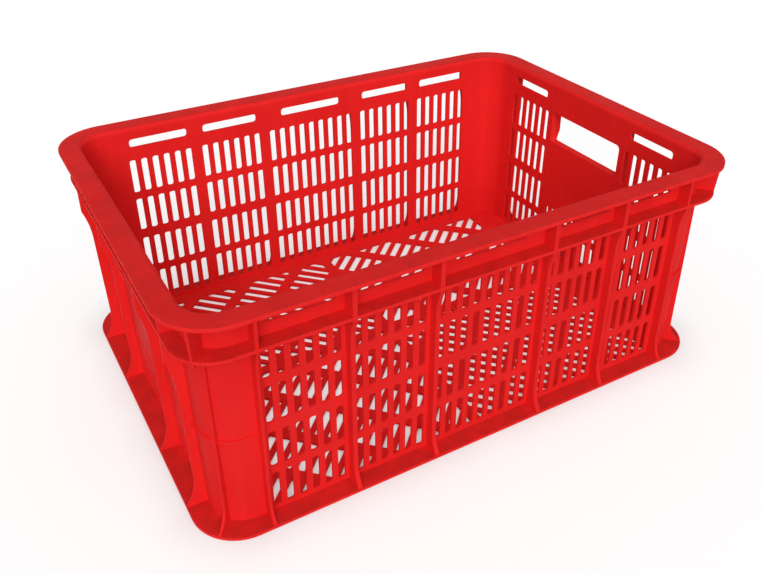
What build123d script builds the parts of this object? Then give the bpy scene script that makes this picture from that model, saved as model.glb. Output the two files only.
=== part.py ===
from build123d import *
import os
from math import sqrt

# Driving dimensions in millimetres: +X to the right end, +Y to the back, +Z up, origin under the middle
HEIGHT = 234.3
RIM_LENGTH = 600.0
RIM_WIDTH = 427.0
RIM_RADIUS = 52.0
RIM_THICKNESS = 3.3
RIM_LIP = 5.0
RIM_SOFT_EDGE = 5.0
FOOT_LENGTH = 549.1
FOOT_WIDTH = 377.6
WALL_RADIUS = 32.0
WALL = 2.2
END_LEAN = 0.02
SIDE_LEAN = 0.012
LEDGE_TOP = 199.2
LEDGE_THICKNESS = 2.8
LEDGE_INSET = 6.8
LEDGE_RADIUS = 40.0
BASE_LENGTH = 588.8
BASE_WIDTH = 415.0
BASE_RADIUS = 47.4
BASE_THICKNESS = 2.5
FLOOR_THICKNESS = 3.0
EDGE_ROUND = 0.8

# Wall slots
SLOT_WIDTH = 7.0
SLOT_PITCH = 13.0
SLOT_ROUND = 2.5
SLOT_ROWS = [(7.0, 47.3), (55.5, 95.8), (106.6, 147.0), (155.2, 195.5)]
SHORT_ROWS = [(7.0, 47.3), (55.5, 68.0)]
SHORT_COLUMNS = 9
RIM_SLOT_LOW = 211.0
RIM_SLOT_HIGH = 220.5
RIM_SLOT_ROUND = 3.5
WALL_BAYS = [(0.0, 9, 78.0), (104.5, 6, 66.0), (189.5, 6, 66.0)]
END_BAY = (104.75, 6)
END_RIM_SLOT = (74.0, 138.0)

# Ribs on the long walls and fins on the ends: place and thickness of each, then the shape of their edges
WALL_RIBS = [(62.0, 4.6), (147.0, 4.6), (232.5, 3.0)]
WALL_RIB_DEPTH = 9.5
WALL_RIB_FLARE = 28.0
WALL_RIB_HEAD = (170.0, 194.0)
END_FINS = [(63.5, 3.0), (146.0, 3.0)]
END_FIN_DEPTH = 8.6
END_FIN_FLARE = 35.0
END_FIN_HEAD = (135.0, 169.0)
FOOT_INSET = 1.0
FOOT_LIP = 0.8

# Corner posts: a fin on the diagonal and a ring rib
CORNER_MIDDLE = 120.0
CORNER_FIN = 2.5
CORNER_RIDGE = 4.2
CORNER_FLARE = 24.0
CORNER_FOOT = 17.3
CORNER_GUSSET = 4.3
CORNER_GUSSET_DEPTH = 19.2
CORNER_GUSSET_ROUND = 3.0
CORNER_WEB_DEPTH = (19.7, 22.3)
CORNER_RING_Z = 100.0
CORNER_RING_HEIGHT = 2.0
CORNER_RING_PROUD = 2.2

# Hand holes
HOLE_LENGTH = 120.0
HOLE_LOW = 158.5
HOLE_HIGH = 197.0
HOLE_ROUND = 5.0
COLLAR = 2.0
COLLAR_PROUD = 7.0

# Floor slots in bands on diagonal lines that mirror in both axes, cut off at plain margins
FLOOR_SLOT_WIDTH = 8.6
FLOOR_SLOT_ROUND = 1.0
FLOOR_SLOT_STEP = 20.05
FLOOR_SLOT_PHASE = 0.43
FLOOR_BAND_PITCH = 70.5
FLOOR_BAND_START = 8.2
FLOOR_BAND_LENGTH = 53.7
FLOOR_BANDS = 6
FLOOR_LIMIT_X = 236.0
FLOOR_LIMIT_FRONT = 182.5
FLOOR_LIMIT_BACK = 172.5
FLOOR_CENTRE_STRIP = 5.4
FLOOR_SMALLEST = 25.0

# Sizes that follow
RIM_BOTTOM = HEIGHT - RIM_THICKNESS
WALL_TOP = RIM_BOTTOM - RIM_LIP
LEDGE_LENGTH = RIM_LENGTH - 2 * LEDGE_INSET
LEDGE_WIDTH = RIM_WIDTH - 2 * LEDGE_INSET
LEDGE_BOTTOM = LEDGE_TOP - LEDGE_THICKNESS
SPLIT_X = WALL_RIBS[-1][0] + WALL_RIBS[-1][1] / 2
SPLIT_Y = END_FINS[-1][0] + END_FINS[-1][1] / 2
PANEL_HALF = HOLE_LENGTH / 2 + COLLAR
COLLAR_LOW = HOLE_LOW - COLLAR
COLLAR_HIGH = HOLE_HIGH + COLLAR
DIAGONAL = sqrt(0.5)
CORNER_LEAN = (END_LEAN + SIDE_LEAN) * DIAGONAL

# Helping lengths: overlap of fused shapes, clearance of cuts, reach through a wall, and more than the crate
SINK = 1.0
CLEAR = 1.0
THROUGH = 20.0
BIG = 1000.0

# Work planes at the foot of the front wall and of the left end: along, up, and outward
FRONT_FACE = Plane(origin=(0, -FOOT_WIDTH / 2, 0), x_dir=(1, 0, 0), z_dir=(0, -1, 0))
LEFT_FACE = Plane(origin=(-FOOT_LENGTH / 2, 0, 0), x_dir=(0, -1, 0), z_dir=(-1, 0, 0))


def slab(length, width, radius, low, high):
    """A flat plate with rounded corners between two heights."""
    return extrude(Plane.XY.offset(low) * RectangleRounded(length, width, radius), high - low)


def tub(outset, low, high):
    """The space inside the walls' outer faces, grown by an outset, between two heights; the walls lean out."""
    sections = []
    for z in (low, high):
        length = FOOT_LENGTH + 2 * (END_LEAN * z + outset)
        width = FOOT_WIDTH + 2 * (SIDE_LEAN * z + outset)
        sections.append(Plane.XY.offset(z) * RectangleRounded(length, width, WALL_RADIUS + outset))
    return loft(sections, ruled=True)


def shell(outset):
    """The wall all round, its outer face grown by an outset."""
    return tub(outset, 0, WALL_TOP) - tub(-WALL, -CLEAR, WALL_TOP + CLEAR)


def rectangle(low_u, high_u, low_v, high_v):
    """A plain rectangle given by its limits."""
    return Pos((low_u + high_u) / 2, (low_v + high_v) / 2) * Rectangle(high_u - low_u, high_v - low_v)


def window(low_u, high_u, low_v, high_v, radius):
    """A rectangle with rounded corners given by its limits."""
    middle = Pos((low_u + high_u) / 2, (low_v + high_v) / 2)
    return middle * RectangleRounded(high_u - low_u, high_v - low_v, radius)


def slot_field(middle, columns, rows):
    """Upright slots in equal columns about a middle line."""
    slots = []
    for column in range(columns):
        u = middle + (column - (columns - 1) / 2) * SLOT_PITCH
        for low, high in rows:
            slots.append(window(u - SLOT_WIDTH / 2, u + SLOT_WIDTH / 2, low, high, SLOT_ROUND))
    return slots


def rim_slot(low_u, high_u):
    """A long low slot just under the rim."""
    return window(low_u, high_u, RIM_SLOT_LOW, RIM_SLOT_HIGH, RIM_SLOT_ROUND)


def end_piece(outline, space):
    """What an outline seen square on the left end takes out of a space."""
    return extrude(LEFT_FACE * outline, THROUGH, both=True) & space


def rib(plane, lean, thickness, depth, flare, foot, head, reach):
    """An upright rib on a leaning wall: it stands on the base flange and flares out at foot and head."""
    head_start, head_full = head
    toe = (foot, BASE_THICKNESS + FOOT_LIP)
    low = (depth + lean * flare, flare)
    high = (depth + lean * head_start, head_start)
    back_low = (lean * BASE_THICKNESS, BASE_THICKNESS)
    back_high = (lean * LEDGE_BOTTOM, LEDGE_BOTTOM)
    with BuildPart() as solid:
        with BuildSketch(plane):
            with BuildLine():
                Polyline(back_low, (foot, BASE_THICKNESS), toe)
                TangentArc(low, toe, tangent=(-lean, -1))
                Line(low, high)
                TangentArc(high, (reach, head_full), tangent=(lean, 1))
                Polyline((reach, head_full), (reach, LEDGE_BOTTOM), back_high, back_low)
            make_face()
        extrude(amount=thickness / 2, both=True)
    return solid.part


def web(plane, lean, thickness, reach):
    """An upright web on a leaning wall, between the ledge and the rim."""
    outline = Polyline(
        (lean * LEDGE_TOP, LEDGE_TOP),
        (reach - EDGE_ROUND, LEDGE_TOP),
        (reach, RIM_BOTTOM),
        (lean * RIM_BOTTOM, RIM_BOTTOM),
        close=True,
    )
    return extrude(plane * make_face(outline), thickness / 2, both=True)


def save(name, piece, count=1):
    """Writes the piece, or the group of like pieces, of one node."""
    solids = piece.solids()
    if len(solids) != count:
        raise ValueError(f"{name} has {len(solids)} solids")
    export_step(solids[0] if count == 1 else Compound(solids), f"parts/{name}.step")


def save_front_back(name, piece, count=1):
    """Writes a front piece and its mirror image at the back."""
    save(f"{name}_front", piece, count)
    save(f"{name}_back", mirror(piece, about=Plane.XZ), count)


def save_left_right(name, piece, count=1):
    """Writes a left piece and its mirror image on the right."""
    save(f"{name}_left", piece, count)
    save(f"{name}_right", mirror(piece, about=Plane.YZ), count)


def save_corners(name, piece):
    """Writes a front left piece and its three mirror images."""
    right = mirror(piece, about=Plane.YZ)
    save(f"{name}_front_left", piece)
    save(f"{name}_front_right", right)
    save(f"{name}_back_left", mirror(piece, about=Plane.XZ))
    save(f"{name}_back_right", mirror(right, about=Plane.XZ))


def corner_region():
    """The space of the front left corner."""
    box = Box(BIG, BIG, BIG, align=(Align.MAX, Align.MAX, Align.CENTER))
    return Pos(-SPLIT_X, -SPLIT_Y, 0) * box


def save_ring(name, corner_name, ring):
    """Writes a ring that goes round the crate as four straight runs and four corners."""
    front_region = Box(2 * SPLIT_X, BIG, BIG, align=(Align.CENTER, Align.MAX, Align.CENTER))
    left_region = Box(BIG, 2 * SPLIT_Y, BIG, align=(Align.MAX, Align.CENTER, Align.CENTER))
    save_front_back(name, ring & front_region)
    save_left_right(name, ring & left_region)
    save_corners(corner_name, ring & corner_region())


def floor_slots(limit_y):
    """The diagonal slots of the back right quarter of the floor, cut off at its plain margins."""
    lines = int(FLOOR_LIMIT_X / FLOOR_SLOT_STEP) + 1
    length = FLOOR_BAND_LENGTH * DIAGONAL
    slots = []
    for band in range(FLOOR_BANDS):
        along = FLOOR_BAND_START + FLOOR_BAND_LENGTH / 2 + band * FLOOR_BAND_PITCH
        for line in range(-lines, lines):
            across = (line + FLOOR_SLOT_PHASE) * FLOOR_SLOT_STEP
            place = Pos((along + across) / 2, (along - across) / 2) * Rot(0, 0, 45)
            slots.append(place * RectangleRounded(length, FLOOR_SLOT_WIDTH, FLOOR_SLOT_ROUND))
    quarter = rectangle(FLOOR_CENTRE_STRIP, FLOOR_LIMIT_X, FLOOR_CENTRE_STRIP, limit_y)
    clipped = (Sketch() + slots) & quarter
    return Sketch() + [face for face in clipped.faces() if face.area > FLOOR_SMALLEST]


def make_floor():
    """The floor plate with its diagonal slots."""
    right = floor_slots(FLOOR_LIMIT_BACK) + mirror(floor_slots(FLOOR_LIMIT_FRONT), about=Plane.XZ)
    slots = right + mirror(right, about=Plane.YZ)
    plate = extrude(Rectangle(RIM_LENGTH, RIM_WIDTH) - slots, FLOOR_THICKNESS)
    return plate & tub(-WALL, -CLEAR, FLOOR_THICKNESS + CLEAR)


def make_rim():
    """The top rim: a flat flange with a short lip that carries on the wall, soft along its inner edge."""
    rim = slab(RIM_LENGTH, RIM_WIDTH, RIM_RADIUS, RIM_BOTTOM, HEIGHT)
    rim += tub(0, WALL_TOP, RIM_BOTTOM)
    rim -= tub(-WALL, WALL_TOP - CLEAR, HEIGHT + CLEAR)
    top = rim.faces().sort_by(Axis.Z)[-1]
    rim = fillet(top.inner_wires()[0].edges(), RIM_SOFT_EDGE)
    top = rim.faces().sort_by(Axis.Z)[-1]
    return fillet(top.outer_wire().edges(), EDGE_ROUND)


def make_flange(length, width, radius, low, high):
    """A flat flange round the outside of the walls with a rounded upper edge."""
    ring = slab(length, width, radius, low, high) - tub(0, low - CLEAR, high + CLEAR)
    top = ring.faces().sort_by(Axis.Z)[-1]
    return fillet(top.outer_wire().edges(), EDGE_ROUND)


def front_section(x):
    """The upright plane across the front wall at a place along it: outward and up."""
    return Plane(origin=(x, -FOOT_WIDTH / 2, 0), x_dir=(0, -1, 0), z_dir=(-1, 0, 0))


def make_front_wall():
    """The front wall: five bays of slots and a slot under the rim over each."""
    holes = []
    for middle, columns, rim_length in WALL_BAYS:
        for sign in (-1, 1) if middle else (1,):
            holes += slot_field(sign * middle, columns, SLOT_ROWS)
            holes.append(rim_slot(sign * middle - rim_length / 2, sign * middle + rim_length / 2))
    top = SIDE_LEAN * WALL_TOP
    outline = Polyline((0, 0), (top, WALL_TOP), (top - WALL, WALL_TOP), (-WALL, 0), close=True)
    plate = extrude(front_section(0) * make_face(outline), SPLIT_X, both=True)
    return plate - [extrude(FRONT_FACE * hole, THROUGH, both=True) for hole in holes]


def make_front_ribs():
    """The ribs of the front wall below the ledge, and the webs that carry them on to the rim."""
    foot = (BASE_WIDTH - FOOT_WIDTH) / 2 - FOOT_INSET
    reach = (LEDGE_WIDTH - FOOT_WIDTH) / 2
    ribs = []
    webs = []
    for x, thickness in WALL_RIBS:
        for sign in (-1, 1):
            plane = front_section(sign * x)
            shape = (WALL_RIB_DEPTH, WALL_RIB_FLARE, foot, WALL_RIB_HEAD, reach - EDGE_ROUND)
            ribs.append(rib(plane, SIDE_LEAN, thickness, *shape))
            webs.append(web(plane, SIDE_LEAN, thickness, reach))
    return Part() + ribs, Part() + webs


def make_left_fins():
    """The fins of the left end below the ledge, and the webs that carry them on to the rim."""
    foot = (BASE_LENGTH - FOOT_LENGTH) / 2 - FOOT_INSET
    reach = (LEDGE_LENGTH - FOOT_LENGTH) / 2
    fins = []
    webs = []
    for y, thickness in END_FINS:
        for sign in (-1, 1):
            plane = Plane(origin=(-FOOT_LENGTH / 2, sign * y, 0), x_dir=(-1, 0, 0), z_dir=(0, 1, 0))
            shape = (END_FIN_DEPTH, END_FIN_FLARE, foot, END_FIN_HEAD, reach - EDGE_ROUND)
            fins.append(rib(plane, END_LEAN, thickness, *shape))
            webs.append(web(plane, END_LEAN, thickness, reach))
    return Part() + fins, Part() + webs


def make_left_grille(wall):
    """The front grille of the left end."""
    middle, columns = END_BAY
    holes = slot_field(middle, columns, SLOT_ROWS) + [rim_slot(*END_RIM_SLOT)]
    return end_piece(rectangle(PANEL_HALF, SPLIT_Y, 0, WALL_TOP) - (Sketch() + holes), wall)


def make_left_panel(wall):
    """The plain middle panel of the left end with short slots near the floor."""
    holes = slot_field(0, SHORT_COLUMNS, SHORT_ROWS)
    return end_piece(rectangle(-PANEL_HALF, PANEL_HALF, 0, COLLAR_LOW) - (Sketch() + holes), wall)


def make_left_collar(wall):
    """The collar round the left hand hole: a frame in the wall that stands out under the ledge."""
    hole = window(-HOLE_LENGTH / 2, HOLE_LENGTH / 2, HOLE_LOW, HOLE_HIGH, HOLE_ROUND)
    frame = rectangle(-PANEL_HALF, PANEL_HALF, COLLAR_LOW, COLLAR_HIGH) - hole
    spout = rectangle(-PANEL_HALF, PANEL_HALF, COLLAR_LOW, LEDGE_BOTTOM) - hole
    return end_piece(frame, wall) + end_piece(spout, shell(COLLAR_PROUD))


def make_left_bar(wall):
    """The plain bar over the left hand hole."""
    return end_piece(rectangle(-PANEL_HALF, PANEL_HALF, COLLAR_HIGH, WALL_TOP), wall)


def in_corner(depth, z):
    """A point on the plane of the corner fin, by its depth outside the leaning corner and its height."""
    return (depth + CORNER_LEAN * (z - CORNER_MIDDLE), z)


def make_corner_fin(plane):
    """The fin on a corner: a low upright ridge with a flared foot and a gusset under the ledge."""
    toe = (CORNER_FOOT, BASE_THICKNESS + FOOT_LIP)
    gusset = LEDGE_BOTTOM - CORNER_GUSSET
    ridge_top = (CORNER_RIDGE, gusset - CORNER_GUSSET_ROUND)
    gusset_start = (CORNER_RIDGE + CORNER_GUSSET_ROUND, gusset)
    with BuildPart() as solid:
        with BuildSketch(plane):
            with BuildLine():
                Polyline(in_corner(-SINK, BASE_THICKNESS), (CORNER_FOOT, BASE_THICKNESS), toe)
                TangentArc((CORNER_RIDGE, CORNER_FLARE), toe, tangent=(0, -1))
                Line((CORNER_RIDGE, CORNER_FLARE), ridge_top)
                TangentArc(ridge_top, gusset_start, tangent=(0, 1))
                Polyline(
                    gusset_start,
                    (CORNER_GUSSET_DEPTH, gusset),
                    (CORNER_GUSSET_DEPTH, LEDGE_BOTTOM),
                    in_corner(-SINK, LEDGE_BOTTOM),
                    in_corner(-SINK, BASE_THICKNESS),
                )
            make_face()
        extrude(amount=CORNER_FIN / 2, both=True)
    return solid.part


def make_corner_web(plane):
    """The web on a corner between the ledge and the rim, notched for the lip of the rim."""
    low_depth, high_depth = CORNER_WEB_DEPTH
    outline = Polyline(
        in_corner(-SINK, LEDGE_TOP),
        (low_depth, LEDGE_TOP),
        (high_depth, RIM_BOTTOM),
        in_corner(0, RIM_BOTTOM),
        in_corner(0, WALL_TOP),
        in_corner(-SINK, WALL_TOP),
        close=True,
    )
    return extrude(plane * make_face(outline), CORNER_FIN / 2, both=True)


def make_corner_post():
    """The front left corner post with its ring rib, its fin and its web."""
    low = CORNER_RING_Z - CORNER_RING_HEIGHT / 2
    high = CORNER_RING_Z + CORNER_RING_HEIGHT / 2
    post = tub(0, 0, WALL_TOP) + tub(CORNER_RING_PROUD, low, high)
    post -= tub(-WALL, -CLEAR, WALL_TOP + CLEAR)
    post &= corner_region()
    inset = WALL_RADIUS * (1 - DIAGONAL)
    x = -FOOT_LENGTH / 2 - END_LEAN * CORNER_MIDDLE + inset
    y = -FOOT_WIDTH / 2 - SIDE_LEAN * CORNER_MIDDLE + inset
    plane = Plane(origin=(x, y, 0), x_dir=(-1, -1, 0), z_dir=(-1, 1, 0))
    return post + make_corner_fin(plane) + make_corner_web(plane)


os.makedirs("parts", exist_ok=True)
wall = shell(0)
save("floor_panel", make_floor())
save_front_back("wall", make_front_wall())

ribs, webs = make_front_ribs()
save_front_back("wall_ribs", ribs, 2 * len(WALL_RIBS))
save_front_back("rim_webs", webs, 2 * len(WALL_RIBS))

fins, webs = make_left_fins()
save_left_right("end_fins", fins, 2 * len(END_FINS))
save_left_right("rim_webs", webs, 2 * len(END_FINS))

left_grille = make_left_grille(wall)
save_front_back("end_grille_left", left_grille)
save_front_back("end_grille_right", mirror(left_grille, about=Plane.YZ))

save_left_right("end_panel", make_left_panel(wall))
save_left_right("hand_hole_collar", make_left_collar(wall))
save_left_right("handle_bar", make_left_bar(wall))
save_corners("corner_post", make_corner_post())

save_ring("rim", "rim_corner", make_rim())
save_ring("ledge", "ledge_corner", make_flange(LEDGE_LENGTH, LEDGE_WIDTH, LEDGE_RADIUS, LEDGE_BOTTOM, LEDGE_TOP))
save_ring("base_flange", "base_corner", make_flange(BASE_LENGTH, BASE_WIDTH, BASE_RADIUS, 0, BASE_THICKNESS))
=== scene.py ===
import math

import bpy
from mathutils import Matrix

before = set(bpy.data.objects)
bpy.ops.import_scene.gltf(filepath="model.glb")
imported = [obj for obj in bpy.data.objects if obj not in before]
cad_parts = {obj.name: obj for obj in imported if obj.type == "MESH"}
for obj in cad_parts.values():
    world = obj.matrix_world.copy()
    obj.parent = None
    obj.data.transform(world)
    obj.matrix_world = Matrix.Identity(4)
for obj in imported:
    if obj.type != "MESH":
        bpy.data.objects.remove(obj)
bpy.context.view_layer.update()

# The photograph's width in pixels, and the camera that was fitted to the rim, the ledge and the base in it
IMAGE_WIDTH = 763
FOCAL_PIXELS = 848.1
CENTRE_SHIFT_PIXELS = (-13.1, -48.9)
CAMERA_PLACE = (-0.4017, -0.7082, 0.6065)
CAMERA_DOWN = 30.608
CAMERA_TURN = 30.136
SENSOR = 36.0
CLIP_START = 0.01

# Outlines of the crate that the wear follows, in metres: half length, half width and corner radius
RIM_OUTLINE = (0.300, 0.2135, 0.052)
LEDGE_OUTLINE = (0.2932, 0.2067, 0.040)
BASE_OUTLINE = (0.2944, 0.2075, 0.0474)

# Heights of that wear in metres: above the first, between the next two, below the last
RIM_LEVEL = 0.2290
LEDGE_LEVEL = (0.1955, 0.2000)
BASE_LEVEL = 0.0035

# How far the wear goes in from an outline, and a height that no part of the crate reaches
WEAR_WIDTH = 0.0035
OUT_OF_REACH = 1.0

# Colours in linear values
RED = (0.85, 0.0230, 0.0220)
DEEP_RED = (0.78, 0.0190, 0.0185)
SCUFF = (0.86, 0.036, 0.034)
# Darker red laid on faces that look up: partly dust, partly painted shade that darkens the tops
DUST_AND_TOP_SHADE = (0.42, 0.019, 0.016)
FLOOR_COLOUR = (0.55, 0.55, 0.55)
WHITE = (1.0, 1.0, 1.0)

# Noise patterns: scale per metre, detail, roughness, and the stretch of the noise's range that is used
CLOUDS = (15.0, 3.0, 0.5, 0.32, 0.68)
STREAKS = (1.0, 2.0, 0.5, 0.35, 0.65)
# Patches of the dust and of the painted shade on the tops
DUST_AND_SHADE_FILM = (45.0, 4.0, 0.6, 0.30, 0.66)
RUBBING = (130.0, 4.0, 0.65, 0.44, 0.62)
SCRATCH_LINES = (1.0, 1.0, 0.5, 0.69, 0.74)
SCRATCH_PATCHES = (18.0, 2.0, 0.5, 0.50, 0.66)
GLOSS_PATCHES = (38.0, 3.0, 0.5, 0.30, 0.70)

# Scales along the axes that draw the streaks out upwards, and the scratches along and across the crate
STREAK_STRETCH = (95.0, 95.0, 5.0)
SCRATCH_STRETCHES = ((14.0, 420.0, 420.0), (420.0, 14.0, 420.0))

# Noise for the bumps, as scale, detail and roughness, and bumps as strength and depth in metres
PEEL_NOISE = (110.0, 2.0, 0.5)
GRAIN_NOISE = (1100.0, 3.0, 0.6)
PEEL_BUMP = (0.10, 0.0006)
GRAIN_DEPTH = 0.0002
SCRATCH_BUMP = (0.25, 0.0002)

# Shares and limits of the plastic's patterns
STREAK_SHARE = 0.35
# Least share of the dust and of the painted shade on the tops
THINNEST_DUST_AND_SHADE = 0.45
# How far a face must look up, from none to full, to take the dust and the painted shade
LYING_FLAT = (0.75, 0.95)
ROUGHNESS = (0.46, 0.56)
WORN_ROUGHNESS = 0.18
REFRACTION = 1.5
SPECULAR_LEVEL = 0.02

# Finish of each region, by the first word of its nodes' names; all other nodes take that of the walls. The
# dust amount also sets painted shade on faces that look up, strongest on the base flange, the ledge and the
# rim
FINISHES = {
    "rim": {"wear": 0.30, "scratched": 0.25, "dust_and_top_shade": 0.42, "grain": 0.20},
    "ledge": {"wear": 0.20, "scratched": 0.12, "dust_and_top_shade": 0.55, "grain": 0.22},
    "base": {"wear": 0.30, "scratched": 0.20, "dust_and_top_shade": 0.68, "grain": 0.22},
    "floor": {"wear": 0.0, "scratched": 0.35, "dust_and_top_shade": 0.03, "grain": 0.26},
    "wall": {"wear": 0.0, "scratched": 0.18, "dust_and_top_shade": 0.05, "grain": 0.24},
}

# Lamps: strength, then spread, turn to the left and rise above the floor in degrees
KEY = (1.88, 36.0, 25.0, 31.0)
OVERHEAD = (0.40, 70.0, 25.0, 75.0)

# Strength of the even light all round, and the strength that the camera sees as white
AMBIENT = 0.39
WHITE_LEVEL = 1.0

# Floor: its size in metres, how far it is lifted to white, and from how near the crate dims that lift
FLOOR_SIZE = 40.0
FLOOR_LIFT = 0.555
OPEN_REACH = 0.06

# Sockets of the node that mixes two colours
MIX_FACTOR = 0
MIX_FIRST = 6
MIX_SECOND = 7
MIX_RESULT = 2


class Tree:
    """Adds shader nodes to a tree and links them as it goes."""

    def __init__(self, tree):
        self.tree = tree
        tree.nodes.clear()

    def add(self, kind, inputs=(), **settings):
        """A new node; each input is a number, a colour, a vector or the output of another node."""
        node = self.tree.nodes.new("ShaderNode" + kind)
        for name, value in settings.items():
            setattr(node, name, value)
        for key, value in dict(inputs).items():
            if isinstance(value, bpy.types.NodeSocket):
                self.tree.links.new(value, node.inputs[key])
            else:
                node.inputs[key].default_value = value
        return node

    def math(self, operation, *values):
        """The result of a math operation on numbers or outputs."""
        return self.add("Math", enumerate(values), operation=operation).outputs[0]

    def product(self, *values):
        """All values multiplied with each other."""
        result = values[0]
        for value in values[1:]:
            result = self.math("MULTIPLY", result, value)
        return result

    def largest(self, *values):
        """The largest of the values."""
        result = values[0]
        for value in values[1:]:
            result = self.math("MAXIMUM", result, value)
        return result

    def vector(self, operation, *values):
        """The result of a vector operation on vectors or outputs."""
        node = self.add("VectorMath", enumerate(values), operation=operation)
        return node.outputs["Value" if operation == "LENGTH" else "Vector"]

    def height_of(self, vector):
        """The upward part of a vector."""
        return self.add("SeparateXYZ", {"Vector": vector}).outputs["Z"]

    def ramp(self, value, low, high, to_low=0.0, to_high=1.0):
        """A value brought smoothly from one range to another and held there."""
        inputs = {"Value": value, "From Min": low, "From Max": high, "To Min": to_low, "To Max": to_high}
        return self.add("MapRange", inputs, interpolation_type="SMOOTHSTEP").outputs[0]

    def noise(self, vector, scale, detail, roughness):
        """Soft noise between about 0.25 and 0.75."""
        inputs = {"Vector": vector, "Scale": scale, "Detail": detail, "Roughness": roughness}
        return self.add("TexNoise", inputs).outputs[0]

    def pattern(self, vector, settings, to_low=0.0, to_high=1.0):
        """Noise with a stretch of its range brought to another range."""
        scale, detail, roughness, low, high = settings
        return self.ramp(self.noise(vector, scale, detail, roughness), low, high, to_low, to_high)

    def mix(self, factor, first, second):
        """A mix of two colours, each an output or three numbers."""
        inputs = {MIX_FACTOR: factor}
        for key, colour in ((MIX_FIRST, first), (MIX_SECOND, second)):
            inputs[key] = colour if isinstance(colour, bpy.types.NodeSocket) else (*colour, 1.0)
        return self.add("Mix", inputs, data_type="RGBA").outputs[MIX_RESULT]

    def bump(self, strength, depth, height, under=None, invert=False):
        """The normal of a surface with bumps, or with cuts where inverted, over the normal under them."""
        inputs = {"Strength": strength, "Distance": depth, "Height": height}
        if under is not None:
            inputs["Normal"] = under
        return self.add("Bump", inputs, invert=invert).outputs["Normal"]

    def stretched(self, vector, scale):
        """A position scaled along each axis."""
        return self.vector("MULTIPLY", vector, scale)


def near_edge(t, place, outline):
    """How near a point is to an outline with rounded corners: 1 at the outline, 0 a wear width inside it."""
    half_x, half_y, radius = outline
    size = t.vector("ABSOLUTE", place)
    over = t.vector("SUBTRACT", size, (half_x - radius, half_y - radius, OUT_OF_REACH))
    over = t.vector("MAXIMUM", over, (0.0, 0.0, 0.0))
    inside = t.math("SUBTRACT", radius, t.vector("LENGTH", over))
    return t.ramp(inside, 0.0, WEAR_WIDTH, 1.0, 0.0)


def edge_wear(t, place):
    """The outer edges of the rim, the ledge and the base flange, where crates rub on each other."""
    height = t.height_of(place)
    low, high = LEDGE_LEVEL
    rim = t.product(near_edge(t, place, RIM_OUTLINE), t.math("GREATER_THAN", height, RIM_LEVEL))
    level = t.product(t.math("GREATER_THAN", height, low), t.math("LESS_THAN", height, high))
    ledge = t.product(near_edge(t, place, LEDGE_OUTLINE), level)
    base = t.product(near_edge(t, place, BASE_OUTLINE), t.math("LESS_THAN", height, BASE_LEVEL))
    return t.largest(rim, ledge, base)


def scratches(t, place):
    """Thin short scratches along the crate and across it, in patches."""
    lines = [t.pattern(t.stretched(place, stretch), SCRATCH_LINES) for stretch in SCRATCH_STRETCHES]
    return t.product(t.largest(*lines), t.pattern(place, SCRATCH_PATCHES))


def moulded_plastic(name, wear, scratched, dust_and_top_shade, grain):
    """Satin red plastic from a mould: uneven tone, grain, rubbed edges, scratches, and a film of dust that
    also paints shade on faces that look up.
    """
    material = bpy.data.materials.new(name)
    material.use_nodes = True
    t = Tree(material.node_tree)
    place = t.add("TexCoord").outputs["Object"]
    upward = t.height_of(t.add("NewGeometry").outputs["Normal"])

    cloud = t.pattern(place, CLOUDS)
    streak = t.pattern(t.stretched(place, STREAK_STRETCH), STREAKS)
    tone = t.math("MULTIPLY_ADD", streak, STREAK_SHARE, t.product(cloud, 1.0 - STREAK_SHARE))
    colour = t.mix(tone, DEEP_RED, RED)

    # Dust on faces that look up, in a darker red that also paints shade on the tops, most on the base
    # flange, the ledge and the rim
    dust_and_shade_film = t.pattern(place, DUST_AND_SHADE_FILM, THINNEST_DUST_AND_SHADE)
    dust_and_shade = t.product(t.ramp(upward, *LYING_FLAT), dust_and_shade_film, dust_and_top_shade)
    colour = t.mix(dust_and_shade, colour, DUST_AND_TOP_SHADE)

    rubbed = t.product(edge_wear(t, place), t.pattern(place, RUBBING), wear)
    scratch = t.product(scratches(t, place), scratched)
    worn = t.largest(rubbed, scratch)
    colour = t.mix(worn, colour, SCUFF)

    patchy = t.pattern(place, GLOSS_PATCHES, *ROUGHNESS)
    rough = t.math("ADD", patchy, t.product(worn, WORN_ROUGHNESS))

    peel = t.bump(*PEEL_BUMP, t.noise(place, *PEEL_NOISE))
    skin = t.bump(grain, GRAIN_DEPTH, t.noise(place, *GRAIN_NOISE), under=peel)
    cut = t.bump(*SCRATCH_BUMP, scratch, under=skin, invert=True)

    shader = t.add("BsdfPrincipled", {
        "Base Color": colour,
        "Roughness": rough,
        "Normal": cut,
        "IOR": REFRACTION,
        "Specular IOR Level": SPECULAR_LEVEL,
    })
    t.add("OutputMaterial", {"Surface": shader.outputs[0]})
    return material


def seen_directly(t):
    """1 for rays that show a surface as background: from the camera, in gloss or through glass."""
    path = t.add("LightPath").outputs
    return t.largest(path["Is Camera Ray"], path["Is Glossy Ray"], path["Is Transmission Ray"])


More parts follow.
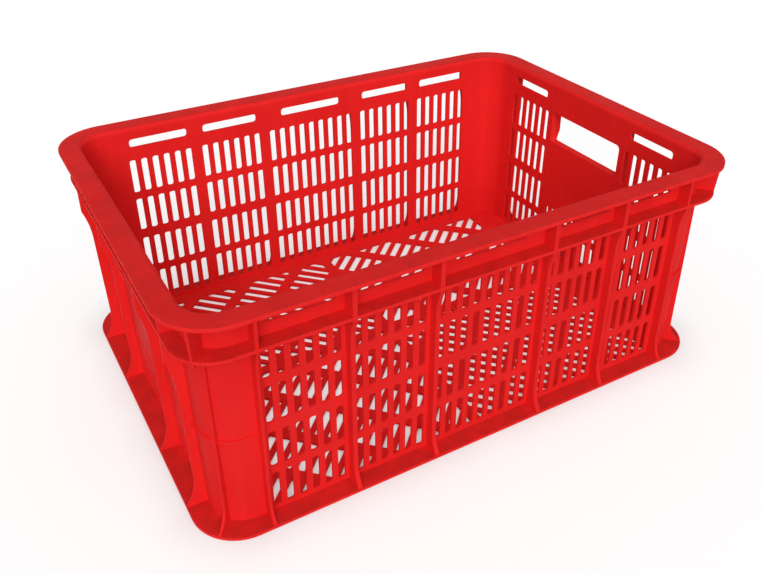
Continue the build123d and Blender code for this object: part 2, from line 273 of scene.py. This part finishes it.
def make_floor():
    """A pale floor, lifted to white for the camera where it lies open, that keeps the crate's shadow."""
    bpy.ops.mesh.primitive_plane_add(size=FLOOR_SIZE, location=(0.0, 0.0, 0.0))
    floor = bpy.context.object
    floor.name = "studio_floor"
    material = bpy.data.materials.new("pale_floor")
    material.use_nodes = True
    t = Tree(material.node_tree)
    matte = t.add("BsdfDiffuse", {"Color": (*FLOOR_COLOUR, 1.0)})
    openness = t.add("AmbientOcclusion", {"Distance": OPEN_REACH}).outputs["AO"]
    lift = t.add("Emission", {"Strength": t.product(openness, seen_directly(t), FLOOR_LIFT)})
    total = t.add("AddShader", {0: matte.outputs[0], 1: lift.outputs[0]})
    t.add("OutputMaterial", {"Surface": total.outputs[0]})
    floor.data.materials.append(material)


def make_world():
    """Dim even light all round that the camera sees as white."""
    world = bpy.data.worlds.new("studio")
    world.use_nodes = True
    bpy.context.scene.world = world
    t = Tree(world.node_tree)
    inputs = {"Value": seen_directly(t), "To Min": AMBIENT, "To Max": WHITE_LEVEL}
    strength = t.add("MapRange", inputs).outputs[0]
    light = t.add("Background", {"Color": (*WHITE, 1.0), "Strength": strength})
    t.add("OutputWorld", {"Surface": light.outputs[0]})


def make_lamp(name, settings):
    """A broad soft lamp that shines evenly from one side."""
    strength, spread, turn, rise = settings
    data = bpy.data.lights.new(name, "SUN")
    data.energy = strength
    data.angle = math.radians(spread)
    lamp = bpy.data.objects.new(name, data)
    bpy.context.scene.collection.objects.link(lamp)
    lamp.rotation_euler = (math.radians(90.0 - rise), 0.0, math.radians(-turn))


def make_camera():
    """The photograph's camera."""
    shift_x, shift_y = CENTRE_SHIFT_PIXELS
    data = bpy.data.cameras.new("camera")
    data.sensor_fit = "HORIZONTAL"
    data.sensor_width = SENSOR
    data.lens = FOCAL_PIXELS / IMAGE_WIDTH * SENSOR
    data.shift_x = shift_x / IMAGE_WIDTH
    data.shift_y = shift_y / IMAGE_WIDTH
    data.clip_start = CLIP_START
    camera = bpy.data.objects.new("camera", data)
    bpy.context.scene.collection.objects.link(camera)
    camera.location = CAMERA_PLACE
    camera.rotation_euler = (math.radians(90.0 - CAMERA_DOWN), 0.0, math.radians(-CAMERA_TURN))
    bpy.context.scene.camera = camera


def dress_crate():
    """Gives each node the finish of its region."""
    finishes = {}
    for region, amounts in FINISHES.items():
        finishes[region] = moulded_plastic("red_plastic_" + region, **amounts)
    for name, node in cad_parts.items():
        region = name.split("_")[0]
        finish = finishes.get(region, finishes["wall"])
        for slot in node.material_slots:
            slot.material = finish


make_camera()
make_floor()
make_world()
make_lamp("key", KEY)
make_lamp("overhead", OVERHEAD)
dress_crate()
bpy.context.scene.view_settings.view_transform = "Standard"
